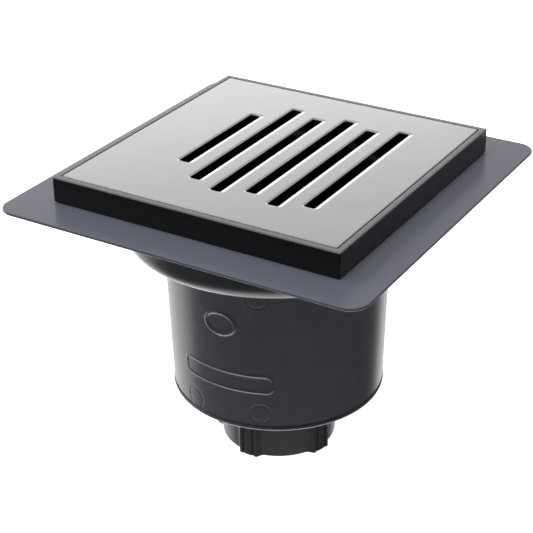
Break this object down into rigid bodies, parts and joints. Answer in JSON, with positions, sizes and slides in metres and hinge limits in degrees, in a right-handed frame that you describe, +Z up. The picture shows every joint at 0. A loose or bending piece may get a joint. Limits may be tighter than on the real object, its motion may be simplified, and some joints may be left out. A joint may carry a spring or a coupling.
{
  "type": "floor drain grate",
  "caption": "Square floor drain: slotted steel grate in a height-adjustable frame, sealing flange, lift-out bell trap and a vertical compression outlet.",
  "frame": {"origin": "centre of the outlet nut's bottom face, which is the bottom centre of the whole drain", "axes": "+Z up, out of the floor, through the grate; X across the grate's slots; Y along the slots"},
  "size_m": [0.1888, 0.1888, 0.1552],
  "materials": {
    "plate_steel": "fine straight grain",
    "fixing_steel": "plain",
    "frame_plastic": "satin moulded",
    "flange_plastic": "satin moulded",
    "body_plastic": "satin moulded",
    "nut_plastic": "fine spark texture",
    "trap_plastic": "gloss moulded",
    "seal_rubber": "matt"
  },
  "bodies": {
    "drain_body": {"flange_tub": "flange_plastic", "body_gasket": "seal_rubber", "clamp_ring": "body_plastic", "clamp_screw_1": "fixing_steel", "clamp_screw_2": "fixing_steel", "clamp_screw_3": "fixing_steel", "clamp_screw_4": "fixing_steel", "clamp_screw_5": "fixing_steel", "clamp_screw_6": "fixing_steel", "body_shell": "body_plastic", "body_base": "body_plastic", "standpipe": "trap_plastic", "standpipe_seal": "seal_rubber"},
    "frame_neck": {"neck_seal": "seal_rubber"},
    "frame": {"top_frame": "frame_plastic"},
    "grate": {"grate_plate": "plate_steel", "grate_carrier": "frame_plastic", "plate_stud_1": "fixing_steel", "plate_stud_2": "fixing_steel", "plate_stud_3": "fixing_steel", "plate_stud_4": "fixing_steel", "stud_clip_1": "fixing_steel", "stud_clip_2": "fixing_steel", "stud_clip_3": "fixing_steel", "stud_clip_4": "fixing_steel"},
    "bell": {"trap_bell": "trap_plastic"},
    "outlet_rings": {"outlet_seal": "seal_rubber", "slip_ring": "trap_plastic"},
    "nut": {"outlet_nut": "nut_plastic"}
  },
  "joints": [
    {"name": "frame_height", "type": "slide", "parent": "drain_body", "child": "frame_neck", "axis": [0, 0, 1], "range_m": [0, 0.015]},
    {"name": "frame_turn", "type": "hinge", "parent": "frame_neck", "child": "frame", "pos_m": [0, 0, 0.105], "axis": [0, 0, 1], "continuous": true},
    {"name": "grate_lift", "type": "slide", "parent": "frame", "child": "grate", "axis": [0, 0, 1], "range_m": [0, 0.2]},
    {"name": "bell_lift", "type": "slide", "parent": "drain_body", "child": "bell", "axis": [0, 0, 1], "range_m": [0, 0.14]},
    {"name": "nut_travel", "type": "slide", "parent": "drain_body", "child": "outlet_rings", "axis": [0, 0, -1], "range_m": [0, 0.012]},
    {"name": "nut_spin", "type": "hinge", "parent": "outlet_rings", "child": "nut", "pos_m": [0, 0, 0.015], "axis": [0, 0, -1], "range_deg": [0, 1440]}
  ],
  "couplings": [
    {"joint": "bell_lift", "follows": "grate_lift", "ratio": 0.7},
    {"joint": "nut_travel", "follows": "nut_spin", "m_per_rad": 0.00047746}
  ]
}
